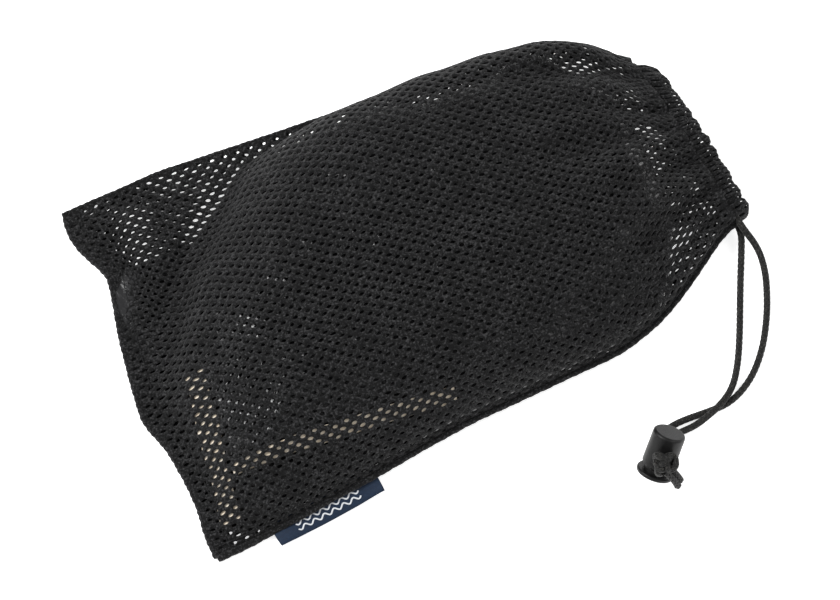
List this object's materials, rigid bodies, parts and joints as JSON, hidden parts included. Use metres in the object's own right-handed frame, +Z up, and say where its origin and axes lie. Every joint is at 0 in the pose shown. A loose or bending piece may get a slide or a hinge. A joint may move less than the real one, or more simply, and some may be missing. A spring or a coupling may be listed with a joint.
{
  "type": "mesh drawstring bag",
  "caption": "Flat-lying mesh drawstring storage bag, packed, with a gathered mouth, a braided drawcord, a sprung cord lock and a folded side label.",
  "frame": {"origin": "centre of the packed bag's footprint, on the surface that it lies on", "axes": "+X along the bag towards its gathered mouth, +Y across it away from the label's side, +Z up"},
  "size_m": [0.2676, 0.2237, 0.041],
  "materials": {
    "mesh_cloth": "matt warp-knit polyester mesh with oval holes",
    "thread": "black sewing thread",
    "label_cloth": "navy woven satin label",
    "cord": "black braided polyester cord",
    "lock_plastic": "semi-gloss moulded black plastic",
    "spring_steel": "bright spring wire",
    "dark_film": "wrinkled dark film",
    "pale_card": "raw pale card"
  },
  "bodies": {
    "bag": {"mesh_upper": "mesh_cloth", "mesh_lower": "mesh_cloth", "hem_channel": "mesh_cloth", "bottom_seam": "mesh_cloth", "side_seam": "mesh_cloth", "bottom_stitching": "thread", "side_stitching": "thread", "hem_stitching": "thread", "side_label": "label_cloth", "drawcord_in_hem": "cord", "cord_leg_a": "cord", "cord_leg_b": "cord", "cord_knot": "cord", "cord_tails": "cord", "packed_bundle_lower": "dark_film", "packed_bundle_upper": "dark_film", "card_edge_end": "pale_card", "card_edge_side": "pale_card"},
    "cord_lock": {"lock_barrel": "lock_plastic", "lock_spring": "spring_steel"},
    "plunger": {"lock_plunger": "lock_plastic"}
  },
  "joints": [
    {"name": "lock_slide", "type": "slide", "parent": "bag", "child": "cord_lock", "axis": [0.352, 0.6732, -0.6503], "range_m": [0, 0.004]},
    {"name": "plunger_press", "type": "slide", "parent": "cord_lock", "child": "plunger", "axis": [0.5244, 0.4337, 0.7328], "range_m": [0, 0.003], "stiffness_N_per_m": 800, "springref_m": -0.003, "deforming": ["lock_spring"]}
  ]
}
